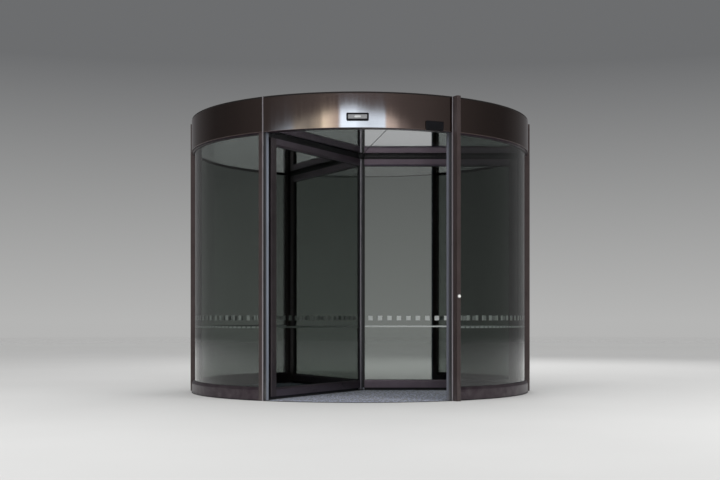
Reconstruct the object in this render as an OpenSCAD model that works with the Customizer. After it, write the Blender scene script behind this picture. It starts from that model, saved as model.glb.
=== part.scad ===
// Three-wing automatic revolving door with a glazed drum and a round canopy.
// Origin on the rotor axis at floor level, +Z up, the street side looks to -Y.

/* [Drum] */
// Inner diameter of the drum
passage_d = 3000; // [2700:50:3600]
// Clear height from the mat to the ceiling
passage_h = 2200; // [2000:10:2500]
// Angle of the street opening and of the indoor opening
opening_deg = 60; // [50:1:60]
// Radial thickness of the drum wall
wall_t = 65; // [60:1:100]
// Thickness of the floor ring on the ground
floor_t = 4; // [3:1:20]

/* [Canopy] */
// Height of the canopy fascia
canopy_h = 296; // [240:2:500]
// Thickness of the curved fascia panels
fascia_t = 12; // [8:1:20]
// Radius of the rolled edges of the fascia
fascia_edge_r = 4; // [2:0.5:5]
// Thickness of the roof cover
roof_t = 20; // [16:1:40]
// Thickness of the roof cover's rim on the fascia
lid_t = 10; // [6:1:14]
// Depth of the joints in the roof cover
roof_joint = 3; // [1:0.5:6]
// Thickness of the ceiling panels
ceiling_t = 12; // [8:1:20]
// Thickness of the soffit plate under the canopy
soffit_t = 4; // [3:1:12]
// Radial thickness of the ring beam inside the canopy
ring_beam_t = 14; // [8:1:24]
// Setback of posts, rails and soffit behind the fascia
reveal = 3; // [2:1:10]
// Width of the open joints between panels
joint_gap = 2; // [1:0.5:4]
// Direction of the joint between the two ceiling panels
ceiling_joint_deg = 279; // [262:1:290]

/* [Floor] */
// Width of the floor ring inside the drum wall
mat_border = 30; // [20:5:60]
// Width of the floor ring's rim in the doorways
rim_w = 8; // [6:1:20]
// Sink of the mat below the top of the floor ring
mat_sink = 0.5; // [0:0.5:2]
// Gap round the mat
mat_gap = 0.5; // [0.3:0.1:3]

/* [Posts] */
// Width of an opening post
post_w = 44; // [36:1:60]
// Corner radius of posts, fins and stiles
corner_r = 3; // [1:0.5:5]
// Radial depth of the grey edge profile on a post
edge_depth = 50; // [40:1:50]
// Width of the edge profile on the opening side of a doorway
edge_w = 20; // [16:1:26]
// Width of the edge profile on the closing side
closing_edge_w = 30; // [16:1:40]
// Setback of the edge profile behind the front of a post
edge_setback = 10; // [6:1:12]
// Width of the half-round strips on the doorway joints
strip_w = 12; // [8:1:14]
// Distance that the half-round strips stand out of the canopy
strip_proud = 5; // [3:0.5:6]
// Distance that the post covers stand out of the canopy
cover_depth = 57; // [40:1:100]
// Width of the post covers
cover_w = 36; // [24:1:40]
// Width of the facade mullions
mullion_w = 70; // [50:1:100]
// Distance that the facade mullions stand out of the canopy
mullion_proud = 25; // [20:1:50]
// Height of the access button
button_z = 860; // [750:10:1100]
// Diameter of the access button
button_d = 24; // [16:1:40]
// Distance that the access button stands out
button_t = 8; // [4:1:15]

/* [Wall glazing] */
// Height of the base rails
base_rail_h = 106; // [70:1:150]
// Visible height of the top rails
top_rail_h = 10; // [10:1:40]
// Radial width of the top rails
top_rail_w = 41; // [34:1:56]
// Height of the sloped bead on a top rail
top_bead_h = 2; // [1:0.5:6]
// Thickness of the curved glass
wall_glass_t = 10; // [8:1:12]
// Height of the sloped bead on a base rail
wall_bead_h = 22; // [10:1:30]
// Width of the glazing bead beside the glass
bead_w = 8; // [5:1:12]
// Depth of the glazing grooves
groove_d = 8; // [6:1:10]
// Clearance between glass and groove walls
groove_gap = 1; // [0.5:0.25:2]
// Width of the joint line between a rail and its bead
bead_joint_w = 2; // [1:0.5:4]
// Depth of that joint line
bead_joint_d = 1.5; // [0.5:0.5:3]
// Height of the upright foot of a bead above the joint line
bead_foot = 4; // [3:0.5:8]
// Height of the shadow joint under a base rail
foot_joint_h = 5; // [2:1:10]
// Depth of that shadow joint
foot_joint_d = 4; // [2:1:8]

/* [Wings] */
// Thickness of the wing frames
wing_t = 46; // [40:1:60]
// Width of the outer stiles
outer_stile_w = 73; // [50:1:90]
// Distance of the inner stile's glass edge from the axis
inner_stile_r = 40; // [40:1:80]
// Thickness of the inner stiles
inner_stile_t = 22; // [20:1:40]
// Distance that the inner stiles reach round the shaft
stile_wrap = 6; // [3:1:10]
// Height of the bottom rails
bottom_rail_h = 72; // [60:1:150]
// Height of the top rails of the wings
head_rail_h = 63; // [50:1:150]
// Height of the sloped bead on a wing rail
wing_bead_h = 14; // [8:1:20]
// Thickness of the wing glass
wing_glass_t = 8; // [6:1:10]
// Length of the brush seals at the foot and tip of a wing
brush_l = 20; // [15:1:35]
// Length of the brush seals at the head of a wing
head_brush_l = 25; // [15:1:35]
// Thickness of the brush seals
brush_t = 8; // [6:1:12]
// Height of the carriers that hold the brushes
carrier_h = 6; // [3:1:10]
// Thickness of the brush carriers
carrier_t = 16; // [14:1:30]
// Running clearance of the brush tips
run_gap = 5; // [5:0.5:8]

/* [Shaft] */
// Diameter of the centre shaft
shaft_d = 48; // [44:1:60]
// Height of the floor bearing above the ground
bearing_h = 12; // [10:1:24]
// Diameter of the floor bearing
bearing_d = 70; // [60:1:140]
// Bevel round the top of the floor bearing
bearing_bevel = 3; // [2:0.5:6]
// Diameter of the pin at the foot of the shaft
pin_d = 30; // [20:1:36]
// Depth of the socket for the pin in the floor bearing
pin_l = 8; // [6:1:9]
// Clearance under the pin
pin_gap = 1; // [0.5:0.5:2]
// Radial clearance of pin and shaft in their bearings
bearing_gap = 0.1; // [0.05:0.05:0.3]
// Axial clearance under the shaft
seat_gap = 0.3; // [0.2:0.1:0.5]
// Diameter of the drive unit in the canopy
drive_d = 340; // [200:10:500]
// Length of the shaft inside the drive unit
drive_engage = 120; // [60:5:200]

/* [Sensors] */
// Width of the motion sensors
motion_w = 180; // [120:5:260]
// Height of the motion sensors
motion_h = 60; // [40:1:90]
// Distance that the motion sensors stand out
motion_t = 20; // [12:1:24]
// Height of the motion sensors above the canopy's lower edge
motion_lift = 61; // [40:1:120]
// Width of the frame round the window of a motion sensor
motion_frame = 12; // [6:1:16]
// Depth of the window in a motion sensor
motion_recess = 4; // [2:1:8]
// Width of the lens bar in the window
lens_w = 50; // [30:1:80]
// Height of the lens bar
lens_h = 14; // [8:1:16]
// Distance that the lens bar stands out in the window
lens_t = 2; // [1:0.5:3]
// Corner radius of the sensor housings
sensor_corner_r = 8; // [3:1:12]
// Width of the safety sensors
safety_w = 150; // [100:5:200]
// Height of the safety sensors
safety_h = 73; // [40:1:80]
// Distance that the safety sensors stand out
safety_t = 18; // [10:1:30]
// Height of the sloped scanning window under a safety sensor
safety_slope = 22; // [10:1:30]
// Angle of the safety sensors from the middle of the opening
safety_deg = 23.5; // [18:0.5:24]

/* [Hidden] */
$fn = 96;
arc_sides = 180;
inner_r = passage_d / 2;
outer_r = inner_r + wall_t;
mid_r = inner_r + wall_t / 2;
frame_r = outer_r - reveal;
half_deg = opening_deg / 2;
ceiling_z = floor_t + passage_h;
soffit_z = ceiling_z + soffit_t;
top_z = ceiling_z + canopy_h;
roof_z = top_z - roof_t;
base_top_z = floor_t + base_rail_h;
top_rail_z = ceiling_z - top_rail_h;
mat_r = inner_r - mat_border;
rim_r = outer_r - rim_w;
fascia_r = outer_r - fascia_t;
front_deg = 270;
rear_deg = 90;
right_deg = 0;
left_deg = 180;
face_r = outer_r + mullion_proud;
fin_r = outer_r + cover_depth;
edge_r = frame_r - edge_setback;
brush_tip_r = inner_r - run_gap;
stile_tip_r = brush_tip_r - brush_l;
stile_root_r = stile_tip_r - outer_stile_w;
wing_glass_w = stile_root_r - inner_stile_r;
wing_z0 = floor_t + run_gap + brush_l;
wing_z1 = ceiling_z - run_gap - head_brush_l;
wing_h = wing_z1 - wing_z0;
shaft_r = shaft_d / 2;
shaft_z0 = bearing_h + seat_gap;
shaft_z1 = ceiling_z + ceiling_t + drive_engage;
wing_step_deg = 120;
panel_gap = 0.3;
shaft_hole_gap = 6;
drive_head_gap = 1;
glass_end_gap = 1;
groove_arc_deg = 10;
post_mid_deg = asin(post_w / 2 / inner_r);
// Overlap of cutting bodies past the face that they cut
cut = 1;
// Reach of the cutting boxes past the wall faces
face_over = 20;
// Smallest step that keeps the faces of two pieces apart
tiny = 0.01;

bronze = [0.24, 0.19, 0.19];
steel = [0.62, 0.64, 0.67];
dark_steel = [0.25, 0.25, 0.27];
glass_tint = [0.55, 0.66, 0.63, 0.45];
black = [0.07, 0.07, 0.08];

// Body of revolution about the axis between two angles, from a section in radius and height
module arc(a0, a1) {
    rotate([0, 0, a0])
        rotate_extrude(angle = a1 - a0, $fn = arc_sides)
            children();
}

module ring_section(r0, r1, z0, z1) {
    translate([r0, z0])
        square([r1 - r0, z1 - z0]);
}

// Rectangle with four rounded corners
module round_rect(x0, x1, y0, y1, c) {
    for (x = [x0 + c, x1 - c], y = [y0 + c, y1 - c])
        translate([x, y])
            circle(c);
    translate([x0 + c, y0])
        square([x1 - x0 - 2 * c, y1 - y0]);
    translate([x0, y0 + c])
        square([x1 - x0, y1 - y0 - 2 * c]);
}

// Rectangle with rounded corners at its far X side only
module nosed_rect(x0, x1, y0, y1, c) {
    round_rect(x0, x1, y0, y1, c);
    translate([x0, y0])
        square([x1 - x0 - c, y1 - y0]);
}

// Upright bar from a plan outline whose X axis points outward at the angle a
module upright(a, z0, z1) {
    rotate([0, 0, a])
        translate([0, 0, z0])
            linear_extrude(z1 - z0)
                children();
}

// Upright box in the same frame
module radial_box(a, r0, r1, t0, t1, z0, z1) {
    upright(a, z0, z1)
        translate([r0, t0])
            square([r1 - r0, t1 - t0]);
}

// Plate that faces outward at the angle a, from a front outline in width and height
module radial_plate(a, r0, r1, z0) {
    rotate([0, 0, a])
        translate([r0, 0, z0])
            rotate([90, 0, 90])
                linear_extrude(r1 - r0)
                    children();
}

// Direction of a doorway's joint, with the wall behind it on the side +1 or -1
function seam(mid, side) = mid + side * half_deg;

// Angle from the middle of a doorway to its edge profile of the width w, less a gap
function doorway_deg(w, gap) = half_deg - asin((w + gap) / inner_r);

// Cuts away what lies in front of the canopy and the floor ring
module clear_of_rings() {
    difference() {
        children();
        translate([0, 0, -cut])
            cylinder(r = outer_r + tiny, h = floor_t + cut, $fn = arc_sides);
        translate([0, 0, ceiling_z])
            cylinder(r = outer_r + tiny, h = canopy_h + cut, $fn = arc_sides);
    }
}

// Space taken by one post, reaching past the wall faces
module post_space(mid, side) {
    r0 = inner_r - face_over;
    r1 = outer_r + face_over;
    t0 = side > 0 ? 0 : -post_w;
    radial_box(seam(mid, side), r0, r1, t0, t0 + post_w, -cut, top_z + cut);
}

module mullion_space(mid) {
    w = mullion_w / 2;
    radial_box(mid, inner_r - face_over, outer_r + face_over, -w, w, -cut, top_z + cut);
}

// Cuts a wall piece back to the faces of the posts and mullions that hold it
module between_posts() {
    difference() {
        children();
        for (mid = [front_deg, rear_deg], side = [-1, 1])
            post_space(mid, side);
        for (mid = [right_deg, left_deg])
            mullion_space(mid);
    }
}

// Section of a glazing rail with sloped beads and a groove for the glass
module rail_section(w, h, glass_t, slope) {
    g = glass_t / 2 + groove_gap;
    b = g + bead_w;
    polygon([
        [-w / 2, 0], [w / 2, 0], [w / 2, h - slope], [b, h], [g, h],
        [g, h - groove_d], [-g, h - groove_d], [-g, h], [-b, h], [-w / 2, h - slope]
    ]);
}

// The same section with a joint line under the bead on both faces
module jointed_rail_section(w, h, glass_t, slope) {
    z = h - slope - bead_foot;
    difference() {
        rail_section(w, h, glass_t, slope);
        for (side = [-1, 1])
            translate([side * w / 2, z])
                square([2 * bead_joint_d, bead_joint_w], center = true);
    }
}

module floor_ring() {
    a = doorway_deg(edge_w, reveal);
    b = doorway_deg(closing_edge_w, reveal);
    color(dark_steel)
        difference() {
            arc(0, 360)
                ring_section(mat_r, outer_r, 0, floor_t);
            for (mid = [front_deg, rear_deg])
                arc(mid - a, mid + b)
                    ring_section(mat_r - cut, rim_r, -cut, floor_t + cut);
        }
}

// Mat inside the floor ring, with an ear into each doorway
module floor_mat() {
    a = doorway_deg(edge_w, reveal + mat_gap);
    b = doorway_deg(closing_edge_w, reveal + mat_gap);
    color([0.33, 0.36, 0.4]) {
        arc(0, 360)
            ring_section(bearing_d / 2 + mat_gap, mat_r - mat_gap, 0, floor_t - mat_sink);
        for (mid = [front_deg, rear_deg])
            arc(mid - a, mid + b)
                ring_section(mat_r - mat_gap - cut, rim_r - mat_gap, 0, floor_t - mat_sink);
    }
}

module floor_bearing() {
    r = bearing_d / 2;
    bore = pin_d / 2 + bearing_gap;
    color(dark_steel)
        arc(0, 360)
            polygon([
                [0, 0], [r, 0], [r, bearing_h - bearing_bevel], [r - bearing_bevel, bearing_h],
                [bore, bearing_h], [bore, bearing_h - pin_l], [0, bearing_h - pin_l]
            ]);
}

module opening_post(mid, side) {
    a = seam(mid, side);
    t0 = side > 0 ? 0 : -post_w;
    color(bronze)
        difference() {
            upright(a, floor_t, ceiling_z)
                round_rect(inner_r + tiny, frame_r, t0, t0 + post_w, corner_r);
            glass_groove(a, side, post_w);
        }
}

// Groove that takes the upright edge of the curved glass, on the face at the distance w
module glass_groove(a, side, w) {
    g = wall_glass_t / 2 + groove_gap;
    t0 = side > 0 ? w - groove_d : -w - cut;
    intersection() {
        arc(a - groove_arc_deg, a + groove_arc_deg)
            ring_section(mid_r - g, mid_r + g, base_top_z - groove_d, top_rail_z + groove_d);
        radial_box(a, inner_r, outer_r, t0, t0 + groove_d + cut, 0, ceiling_z);
    }
}

// Rounded grey profile on the doorway side of each post
module edge_profiles() {
    color([0.36, 0.4, 0.46])
        for (mid = [front_deg, rear_deg]) {
            upright(seam(mid, -1), floor_t, ceiling_z)
                edge_section(edge_w);
            upright(seam(mid, 1), floor_t, ceiling_z)
                mirror([0, 1])
                    edge_section(closing_edge_w);
        }
}

module edge_section(w) {
    c = edge_w / 2;
    x0 = edge_r - edge_depth;
    for (x = [x0 + c, edge_r - c])
        translate([x, w - c])
            circle(c);
    translate([x0, 0])
        square([edge_depth, w - c]);
    translate([x0 + c, 0])
        square([edge_depth - 2 * c, w]);
}

// Half-round strips on the doorway joints and fins on the closing posts, from the ground to the roof
module post_covers() {
    color(bronze)
        for (mid = [front_deg, rear_deg])
            clear_of_rings() {
                upright(seam(mid, -1), 0, top_z)
                    strip_section(frame_r + tiny, 0);
                upright(seam(mid, 1), 0, top_z) {
                    strip_section(edge_r + panel_gap, -strip_w / 2);
                    nosed_rect(frame_r, fin_r, 0, cover_w, corner_r);
                }
            }
}

// Strip from the radius x0 outward, with its middle at the distance y from the joint
module strip_section(x0, y) {
    c = strip_w / 2;
    x1 = outer_r + strip_proud - c;
    intersection() {
        translate([x1, y])
            circle(c);
        translate([x0, y - c])
            square([x1 - x0 + strip_w, strip_w]);
    }
    translate([x0, y - c])
        square([x1 - x0, strip_w]);
}

// Upright at the side of the drum with the flange for the facade
module mullion(mid) {
    w = mullion_w / 2;
    color(bronze)
        difference() {
            union() {
                radial_box(mid, inner_r + tiny, outer_r + tiny, -w, w, floor_t, ceiling_z);
                radial_box(mid, outer_r + tiny, face_r, -w, w, 0, top_z);
            }
            glass_groove(mid, 1, w);
            glass_groove(mid, -1, w);
        }
}

// Arc of a side wall, from inside one post to inside the other
module wall_arc(mid) {
    a = 90 - half_deg - post_mid_deg;
    arc(mid - a, mid + a)
        children();
}

module base_rail(mid) {
    w = wall_t - 2 * reveal;
    color(bronze)
        between_posts()
            wall_arc(mid)
                translate([mid_r, floor_t])
                    difference() {
                        jointed_rail_section(w, base_rail_h, wall_glass_t, wall_bead_h);
                        for (side = [-1, 1])
                            translate([side * w / 2, 0])
                                square([2 * foot_joint_d, 2 * foot_joint_h], center = true);
                    }
}

module top_rail(mid) {
    color(bronze)
        between_posts()
            wall_arc(mid)
                translate([mid_r, ceiling_z - tiny])
                    mirror([0, 1])
                        rail_section(top_rail_w, top_rail_h - tiny, wall_glass_t, top_bead_h);
}

// Angle that a glass edge lies behind the middle of an upright with a face at the distance w
function edge_deg(w) = asin((w - groove_d + glass_end_gap) / mid_r);

// Curved pane from the post at the angle a_post to the mullion at the angle a_side
module wall_glass(a_post, a_side) {
    s = a_side > a_post ? 1 : -1;
    a = a_post + s * edge_deg(post_w);
    b = a_side - s * edge_deg(mullion_w / 2);
    color(glass_tint)
        arc(min(a, b), max(a, b))
            ring_section(mid_r - wall_glass_t / 2, mid_r + wall_glass_t / 2,
                base_top_z - groove_d, top_rail_z + groove_d);
}

// Curved panel with rolled outer edges
module fascia(mid, span) {
    gap = joint_gap / outer_r * 90 / PI;
    color(bronze)
        arc(mid - span / 2 + gap, mid + span / 2 - gap)
            nosed_rect(fascia_r, outer_r, soffit_z, top_z - lid_t - tiny, fascia_edge_r);
}

module canopy_ring() {
    beam_r = inner_r + ring_beam_t;
    color(bronze)
        arc(0, 360)
            polygon([
                [inner_r, ceiling_z], [frame_r, ceiling_z], [frame_r, soffit_z],
                [beam_r, soffit_z], [beam_r, roof_z], [inner_r, roof_z]
            ]);
}

module ceiling_half(a0) {
    hole_r = shaft_r + shaft_hole_gap;
    color([0.75, 0.76, 0.78])
        difference() {
            arc(a0, a0 + 180)
                ring_section(hole_r, inner_r - panel_gap, ceiling_z, ceiling_z + ceiling_t);
            rotate([0, 0, a0])
                translate([-inner_r, -joint_gap / 2, ceiling_z - cut])
                    cube([passage_d, joint_gap, ceiling_t + 2 * cut]);
        }
}

// Roof of four jointed sheets, with a rim that covers the top of the fascia
module roof_cover() {
    r = fascia_r - panel_gap;
    color(bronze)
        difference() {
            arc(0, 360)
                polygon([
                    [0, roof_z], [r, roof_z], [r, top_z - lid_t],
                    [frame_r, top_z - lid_t], [frame_r, top_z], [0, top_z]
                ]);
            for (a = [right_deg, rear_deg])
                rotate([0, 0, a])
                    translate([-outer_r, -joint_gap / 2, top_z - roof_joint])
                        cube([2 * outer_r, joint_gap, roof_joint + cut]);
        }
}

module drive_unit() {
    z0 = ceiling_z + ceiling_t;
    z1 = shaft_z1 + drive_head_gap;
    bore = shaft_r + bearing_gap;
    color(steel)
        arc(0, 360)
            polygon([
                [bore, z0], [drive_d / 2, z0], [drive_d / 2, roof_z], [0, roof_z], [0, z1], [bore, z1]
            ]);
}

// Cuts the back of a housing to the curve of the fascia
module on_fascia() {
    difference() {
        children();
        translate([0, 0, ceiling_z - cut])
            cylinder(r = outer_r + tiny, h = canopy_h + 2 * cut, $fn = arc_sides);
    }
}

// Rounded front outline round the middle of a housing
module housing_face(w, h, c) {
    round_rect(-w / 2, w / 2, -h / 2, h / 2, c);
}

// Flat housing with a sunk window and a raised lens bar
module motion_sensor(mid) {
    z = ceiling_z + motion_lift + motion_h / 2;
    front_r = outer_r + motion_t;
    window_r = front_r - motion_recess;
    window_w = motion_w - 2 * motion_frame;
    window_h = motion_h - 2 * motion_frame;
    color(black)
        on_fascia() {
            difference() {
                radial_plate(mid, outer_r - motion_w / 4, front_r, z)
                    housing_face(motion_w, motion_h, sensor_corner_r);
                radial_plate(mid, window_r, front_r + cut, z)
                    housing_face(window_w, window_h, sensor_corner_r / 2);
            }
            radial_plate(mid, window_r - cut, window_r + lens_t, z)
                housing_face(lens_w, lens_h, lens_h / 2 - tiny);
        }
}

// Housing with its sloped scanning window at the foot
module safety_sensors() {
    color(black)
        on_fascia()
            for (mid = [front_deg, rear_deg])
                rotate([0, 0, mid + safety_deg])
                    translate([outer_r - safety_w / 4, safety_w / 2, soffit_z])
                        rotate([90, 0, 0])
                            linear_extrude(safety_w)
                                safety_section(safety_w / 4 + safety_t);
}

// Side view of a safety sensor from the fascia outward
module safety_section(depth) {
    c = corner_r;
    polygon([
        [0, 0], [depth - safety_t / 2, 0], [depth, safety_slope],
        [depth, safety_h - c], [depth - c, safety_h], [0, safety_h]
    ]);
}

module access_button() {
    color("white")
        rotate([0, 0, seam(front_deg, 1)])
            translate([fin_r, cover_w / 2, button_z])
                rotate([0, 90, 0])
                    cylinder(d = button_d, h = button_t);
}

module centre_shaft() {
    r = pin_d / 2;
    pin_z = bearing_h - pin_l + pin_gap;
    color(steel)
        arc(0, 360)
            polygon([
                [0, pin_z], [r, pin_z], [r, shaft_z0],
                [shaft_r, shaft_z0], [shaft_r, shaft_z1], [0, shaft_z1]
            ]);
}

function wing_deg(i) = wing_step_deg * (i - 1);

// Inner stile that clasps the shaft and outer stile with rounded corners, both grooved for the glass
module wing_stiles(i) {
    g = wing_glass_t / 2 + groove_gap;
    inner_r0 = shaft_r - stile_wrap;
    color(bronze)
        difference() {
            upright(wing_deg(i), wing_z0, wing_z1) {
                translate([inner_r0, -inner_stile_t / 2])
                    square([inner_stile_r - inner_r0, inner_stile_t]);
                nosed_rect(stile_root_r, stile_tip_r, -wing_t / 2, wing_t / 2, corner_r);
            }
            translate([0, 0, wing_z0 - cut])
                cylinder(r = shaft_r, h = wing_h + 2 * cut);
            radial_box(wing_deg(i), inner_stile_r - groove_d, stile_root_r + groove_d, -g, g,
                wing_z0 + bottom_rail_h - groove_d, wing_z1 - head_rail_h + groove_d);
        }
}

module wing_rails(i) {
    color(bronze)
        rotate([0, 0, wing_deg(i)])
            translate([inner_stile_r, 0, 0]) {
                translate([0, 0, wing_z0])
                    wing_bar(bottom_rail_h);
                translate([0, 0, wing_z1])
                    mirror([0, 0, 1])
                        wing_bar(head_rail_h);
            }
}

// Straight rail along X with its section in Y and Z
module wing_bar(h) {
    rotate([90, 0, 90])
        linear_extrude(wing_glass_w)
            jointed_rail_section(wing_t, h, wing_glass_t, wing_bead_h);
}

module wing_glass(i) {
    in = groove_d - glass_end_gap;
    t = wing_glass_t / 2;
    color(glass_tint)
        radial_box(wing_deg(i), inner_stile_r - in, stile_root_r + in, -t, t,
            wing_z0 + bottom_rail_h - groove_d, wing_z1 - head_rail_h + groove_d);
}

// Brush seals round three sides of a wing, each in a wider carrier
module wing_brushes(i) {
    color(black)
        rotate([0, 0, wing_deg(i)]) {
            edge_strip(brush_l, head_brush_l, brush_t);
            edge_strip(carrier_h, carrier_h, carrier_t);
        }
}

// Strip of thickness t round a wing, of the height h at its foot and tip and another at its head
module edge_strip(h, head_h, t) {
    x0 = bearing_d / 2 + run_gap;
    difference() {
        translate([x0, -t / 2, wing_z0 - h])
            cube([stile_tip_r + h - x0, t, wing_h + h + head_h]);
        translate([x0 - cut, -wing_t, wing_z0])
            cube([stile_tip_r - x0 + cut, 2 * wing_t, wing_h]);
    }
}

floor_ring();
floor_mat();
floor_bearing();
opening_post(front_deg, -1);  // post_front_left
opening_post(front_deg, 1);  // post_front_right
opening_post(rear_deg, 1);  // post_rear_left
opening_post(rear_deg, -1);  // post_rear_right
edge_profiles();
post_covers();
mullion(left_deg);  // mullion_left
mullion(right_deg);  // mullion_right
base_rail(left_deg);  // base_rail_left
base_rail(right_deg);  // base_rail_right
top_rail(left_deg);  // top_rail_left
top_rail(right_deg);  // top_rail_right
wall_glass(front_deg - half_deg, left_deg);  // glass_front_left
wall_glass(front_deg + half_deg, 360);  // glass_front_right
wall_glass(rear_deg + half_deg, left_deg);  // glass_rear_left
wall_glass(rear_deg - half_deg, right_deg);  // glass_rear_right
fascia(front_deg, opening_deg);  // fascia_front
fascia(rear_deg, opening_deg);  // fascia_rear
fascia(left_deg, 180 - opening_deg);  // fascia_left
fascia(right_deg, 180 - opening_deg);  // fascia_right
canopy_ring();
ceiling_half(ceiling_joint_deg - 180);  // ceiling_left
ceiling_half(ceiling_joint_deg);  // ceiling_right
roof_cover();
drive_unit();
motion_sensor(front_deg);  // motion_sensor_front
motion_sensor(rear_deg);  // motion_sensor_rear
safety_sensors();
access_button();
centre_shaft();
wing_stiles(1);  // wing_1_stiles
wing_rails(1);  // wing_1_rails
wing_glass(1);  // wing_1_glass
wing_brushes(1);  // wing_1_brushes
wing_stiles(2);  // wing_2_stiles
wing_rails(2);  // wing_2_rails
wing_glass(2);  // wing_2_glass
wing_brushes(2);  // wing_2_brushes
wing_stiles(3);  // wing_3_stiles
wing_rails(3);  // wing_3_rails
wing_glass(3);  // wing_3_glass
wing_brushes(3);  // wing_3_brushes
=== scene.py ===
# Looks of a three-wing revolving door: finishes, fine pieces, stage, light and camera.
# All lengths are metres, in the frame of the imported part.
import math

import bmesh
import bpy
import numpy as np
from mathutils import Matrix, Vector


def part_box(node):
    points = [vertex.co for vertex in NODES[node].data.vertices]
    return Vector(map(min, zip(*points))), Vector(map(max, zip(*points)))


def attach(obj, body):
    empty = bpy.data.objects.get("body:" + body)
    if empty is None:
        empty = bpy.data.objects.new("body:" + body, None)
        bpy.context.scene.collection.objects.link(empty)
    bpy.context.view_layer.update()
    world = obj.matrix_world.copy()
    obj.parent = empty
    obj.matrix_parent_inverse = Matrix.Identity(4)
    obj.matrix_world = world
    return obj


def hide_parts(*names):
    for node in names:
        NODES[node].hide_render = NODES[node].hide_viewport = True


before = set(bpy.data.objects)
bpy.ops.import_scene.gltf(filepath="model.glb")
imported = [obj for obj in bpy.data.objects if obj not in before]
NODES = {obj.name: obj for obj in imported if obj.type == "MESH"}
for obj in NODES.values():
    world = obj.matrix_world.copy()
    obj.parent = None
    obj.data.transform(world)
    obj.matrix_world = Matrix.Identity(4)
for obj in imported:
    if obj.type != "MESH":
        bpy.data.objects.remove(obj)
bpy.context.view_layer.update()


# Places read from the frame

def turned_box(name, angle):
    """Lowest and highest corner of a node in axes that point outward, sideways and up at a direction."""
    turn = Matrix.Rotation(-angle, 3, "Z")
    points = np.array([turn @ v.co for v in NODES[name].data.vertices])
    return Vector(points.min(0)), Vector(points.max(0))


def radii(name):
    """Smallest and largest radius of a node."""
    reach = [math.hypot(v.co.x, v.co.y) for v in NODES[name].data.vertices]
    return min(reach), max(reach)


# Directions round the drum
FRONT = math.radians(270)
REAR = math.radians(90)
HALF_OPENING = math.radians(30)
FRONT_SEAM = FRONT + HALF_OPENING
WING_ANGLES = [math.radians(a) for a in (0, 120, 240)]

# Levels and radii of the drum
OUTER_R = radii("floor_ring")[1]
RING_R = radii("floor_ring")[0]
FLOOR_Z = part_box("floor_ring")[1].z
CEILING_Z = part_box("ceiling_right")[0].z
TOP_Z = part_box("roof_cover")[1].z
BASE_TOP_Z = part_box("base_rail_right")[1].z
TOP_RAIL_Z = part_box("top_rail_right")[0].z
GLASS_IN, GLASS_OUT = radii("glass_front_right")
GLASS_MID = (GLASS_IN + GLASS_OUT) / 2
POST_W = turned_box("post_front_right", FRONT_SEAM)[1].y
FIN_R = turned_box("post_covers", FRONT_SEAM)[1].x
MULLION_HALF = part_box("mullion_right")[1].y
EDGE_R = radii("edge_profiles")[1]

# The button, in the middle of the fin that starts at the seam
BUTTON_LOW, BUTTON_HIGH = turned_box("access_button", FRONT_SEAM)
FIN_W = BUTTON_LOW.y + BUTTON_HIGH.y

# The wing along +X
WING_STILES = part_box("wing_1_stiles")
WING_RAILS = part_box("wing_1_rails")
WING_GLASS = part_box("wing_1_glass")
WING_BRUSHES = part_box("wing_1_brushes")
RUN_GAP = WING_BRUSHES[0].z - FLOOR_Z
INNER_R = WING_BRUSHES[1].x + RUN_GAP
GROOVE_D = 0.008

# Safety marks on the glass
MARK_W = 0.042
MARK_PITCH = 0.089
MARK_Z = 0.661
LINE_H = 0.014
LINE_Z = 0.597
FILM_T = 0.0003
FILM_GAP = 0.0001

# Glazing gaskets
GASKET = 0.0035
GASKET_GAP = 0.0002

# Brush seals round the wings
CARRIER_H = 0.006
CARRIER_HALF = WING_BRUSHES[1].y
SLOT_HALF = 0.0037
CORE_HALF = 0.0022
CORE_SHARE = 0.86
TUFT_PITCH = 0.0022
TUFT_ROW = 0.0026
TUFT_T = 0.002
TUFT_LEAN = 0.0016
TUFT_UNEVEN = 0.0003
TIP_GAP = 0.0003

# Collar at the head of the shaft: its gaps to the stiles and the shaft, its lap over the brushes
COLLAR_LIFT = 0.0002
COLLAR_FIT = 0.0003
COLLAR_LAP = 0.004
COLLAR_H = 0.014
COLLAR_TUFTS = 80
TUFT_SHARE = (0.5, 0.48)

# Seal in the ceiling's joint: where it starts and ends, its section, and its depths below the ceiling
CEILING_R = radii("ceiling_right")[1]
CEILING_JOINT = math.acos(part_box("ceiling_right")[0].x / CEILING_R)
SEAL_NEAR = 0.06
SEAL_FAR = CEILING_R - 0.004
SEAL_HALF = 0.0035
SEAL_CHAMFER = 0.0008
SEAL_ROOT = 0.0001
SEAL_FACE = 0.0007

# Window and lens of the motion sensors: back, front and bevel of each from the sensor's recess
SENSOR_FRAME = 0.012
SENSOR_RECESS = 0.004
WINDOW_PLAY = 0.001
WINDOW_CORNER = 0.0036
WINDOW_DEPTHS = (0.0001, 0.0013, 0.0004)
LENS_W = 0.052
LENS_H = 0.016
LENS_CORNER = 0.0078
LENS_DEPTHS = (0.0005, 0.003, 0.0008)

# Ring round the button: play, width and height
BEZEL_PLAY = 0.0008
BEZEL_W = 0.005
BEZEL_H = 0.003

# Screws: radius and height of their heads, and where they stand
FLOOR_SCREW = (0.0045, 0.0005)
FLOOR_SCREW_STEP = math.radians(15)
DOORWAY_MARGIN = math.radians(3)
ROOF_SCREW = (0.006, 0.003)
ROOF_RIM_SCREWS = 36
ROOF_RIM_INSET = 0.025
ROOF_JOINT_STEP = 0.22
ROOF_JOINT_SIDE = 0.02
ROOF_JOINT_SCREWS = 6

# Steps of curved forms
RING_STEPS = 48
CORNER_STEPS = 5
SCREW_SIDES = 18
PANE_STEP = 0.02
SHARP_ANGLE = math.radians(35)

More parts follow.
